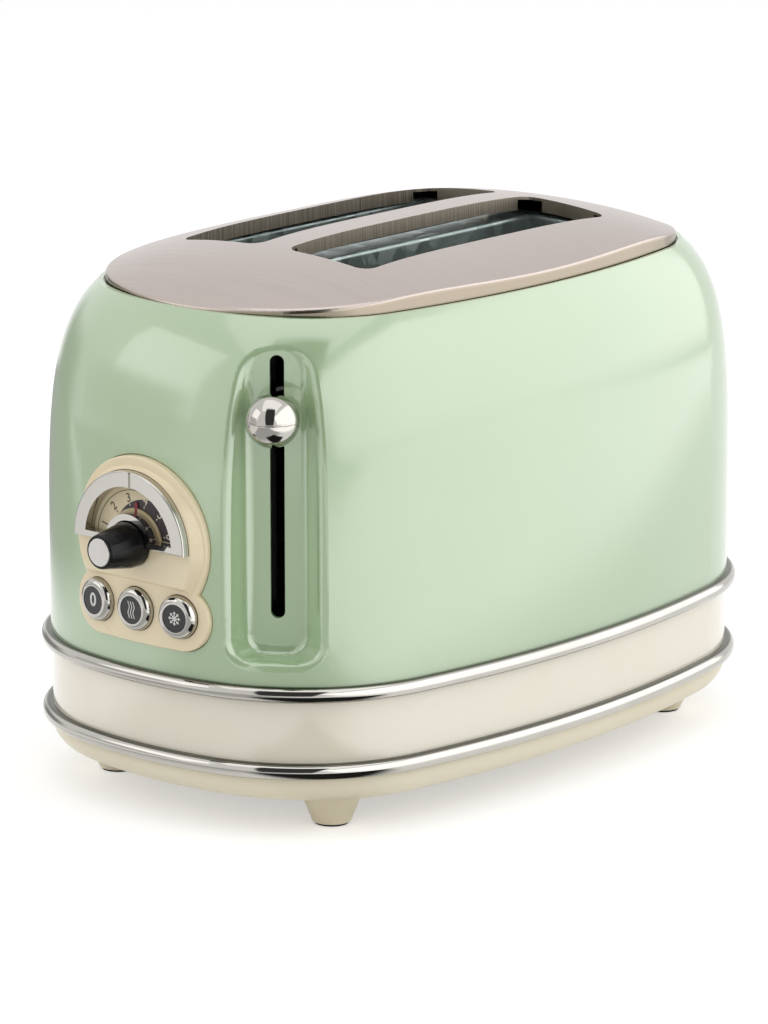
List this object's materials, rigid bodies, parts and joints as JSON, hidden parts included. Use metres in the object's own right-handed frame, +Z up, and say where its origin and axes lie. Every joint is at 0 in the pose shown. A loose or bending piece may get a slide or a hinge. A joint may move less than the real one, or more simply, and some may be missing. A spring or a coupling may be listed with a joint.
{
  "type": "pop-up toaster",
  "caption": "Two-slot pop-up toaster with a domed painted shell, side lever with ball knob, browning dial, three push buttons and a crumb tray.",
  "frame": {"origin": "on the floor, under the middle of the whole toaster's box", "axes": "+Z up, Y along the toaster with the control end facing -Y, X across it"},
  "size_m": [0.2034, 0.3262, 0.2151],
  "materials": {
    "painted_shell": "glossy pastel green enamel with a soft pearl",
    "brushed_top": "fine brushed stainless steel",
    "cream_plastic": "satin cream moulding",
    "chrome_trim": "bright chrome plate",
    "ivory_plastic": "satin ivory moulding",
    "steel_hardware": "plain bright steel",
    "rubber_black": "matt black rubber",
    "black_plastic": "satin black moulding",
    "knob_metal": "spun aluminium disc",
    "galvanised_sheet": "zinc coated sheet, faint spangle",
    "mica": "mica card wound with resistance ribbon",
    "circuit_board": "green laminate"
  },
  "bodies": {
    "root": {"body_shell": "painted_shell", "top_plate": "brushed_top", "base_band": "cream_plastic", "upper_trim_ring": "chrome_trim", "lower_trim_ring": "chrome_trim", "base_pan": "ivory_plastic", "base_screws": "steel_hardware", "foot_front_left": "ivory_plastic", "foot_front_right": "ivory_plastic", "foot_rear_left": "ivory_plastic", "foot_rear_right": "ivory_plastic", "foot_pads": "rubber_black", "cord_gland": "rubber_black", "control_panel": "cream_plastic", "dial_face": "cream_plastic", "dial_bezel": "chrome_trim", "dial_potentiometer": "black_plastic", "control_board": "circuit_board", "slot_liner": "black_plastic", "chassis_front": "galvanised_sheet", "chassis_rear": "galvanised_sheet", "heat_shield_left": "galvanised_sheet", "heat_shield_right": "galvanised_sheet", "chamber_divider": "galvanised_sheet", "heater_left_outer": "mica", "heater_left_inner": "mica", "heater_right_inner": "mica", "heater_right_outer": "mica", "electromagnet": "steel_hardware", "guide_rod": "steel_hardware", "return_spring": "steel_hardware"},
    "lever": {"lever_ball_upper": "chrome_trim", "lever_ball_lower": "chrome_trim", "lever_stem": "black_plastic", "carriage": "steel_hardware", "latch_plate": "steel_hardware", "bread_rack_left": "steel_hardware", "bread_rack_right": "steel_hardware"},
    "knob": {"browning_knob": "black_plastic", "knob_cap": "knob_metal", "dial_shaft": "steel_hardware", "pointer_disc": "cream_plastic"},
    "stop_key": {"stop_button": "chrome_trim", "stop_button_inset": "black_plastic"},
    "reheat_key": {"reheat_button": "chrome_trim", "reheat_button_inset": "black_plastic"},
    "defrost_key": {"defrost_button": "chrome_trim", "defrost_button_inset": "black_plastic"},
    "tray": {"crumb_tray": "galvanised_sheet", "crumb_tray_handle": "ivory_plastic"},
    "guide_left_outer": {"bread_guide_left_outer": "steel_hardware"},
    "guide_left_inner": {"bread_guide_left_inner": "steel_hardware"},
    "guide_right_inner": {"bread_guide_right_inner": "steel_hardware"},
    "guide_right_outer": {"bread_guide_right_outer": "steel_hardware"}
  },
  "joints": [
    {"name": "lever_slide", "type": "slide", "parent": "root", "child": "lever", "axis": [0, 0, 1], "range_m": [-0.069, 0.0175], "stiffness_N_per_m": 150, "springref_m": 0.012, "deforming": ["return_spring"]},
    {"name": "knob_turn", "type": "hinge", "parent": "root", "child": "knob", "pos_m": [0, -0.14755, 0.1105], "axis": [0, -1, 0], "range_deg": [-70, 70]},
    {"name": "stop_press", "type": "slide", "parent": "root", "child": "stop_key", "axis": [0.12, 0.9928, 0], "range_m": [0, 0.0015], "stiffness_N_per_m": 600, "springref_m": -0.0008},
    {"name": "reheat_press", "type": "slide", "parent": "root", "child": "reheat_key", "axis": [0, 1, 0], "range_m": [0, 0.0015], "stiffness_N_per_m": 600, "springref_m": -0.0008},
    {"name": "defrost_press", "type": "slide", "parent": "root", "child": "defrost_key", "axis": [-0.12, 0.9928, 0], "range_m": [0, 0.0015], "stiffness_N_per_m": 600, "springref_m": -0.0008},
    {"name": "tray_slide", "type": "slide", "parent": "root", "child": "tray", "axis": [0, 1, 0], "range_m": [0, 0.2]},
    {"name": "guide_left_outer_lean", "type": "hinge", "parent": "root", "child": "guide_left_outer", "pos_m": [-0.0418, 0.00945, 0.064], "axis": [0, 1, 0], "range_deg": [-0.65, 2.42]},
    {"name": "guide_left_inner_lean", "type": "hinge", "parent": "root", "child": "guide_left_inner", "pos_m": [-0.014, 0.00945, 0.064], "axis": [0, 1, 0], "range_deg": [-2.42, 0.65]},
    {"name": "guide_right_inner_lean", "type": "hinge", "parent": "root", "child": "guide_right_inner", "pos_m": [0.014, 0.00945, 0.064], "axis": [0, 1, 0], "range_deg": [-0.65, 2.42]},
    {"name": "guide_right_outer_lean", "type": "hinge", "parent": "root", "child": "guide_right_outer", "pos_m": [0.0418, 0.00945, 0.064], "axis": [0, 1, 0], "range_deg": [-2.42, 0.65]}
  ],
  "couplings": [
    {"joint": "guide_left_outer_lean", "follows": "lever_slide", "rad_per_m": -0.6},
    {"joint": "guide_left_inner_lean", "follows": "lever_slide", "rad_per_m": 0.6},
    {"joint": "guide_right_inner_lean", "follows": "lever_slide", "rad_per_m": -0.6},
    {"joint": "guide_right_outer_lean", "follows": "lever_slide", "rad_per_m": 0.6}
  ]
}
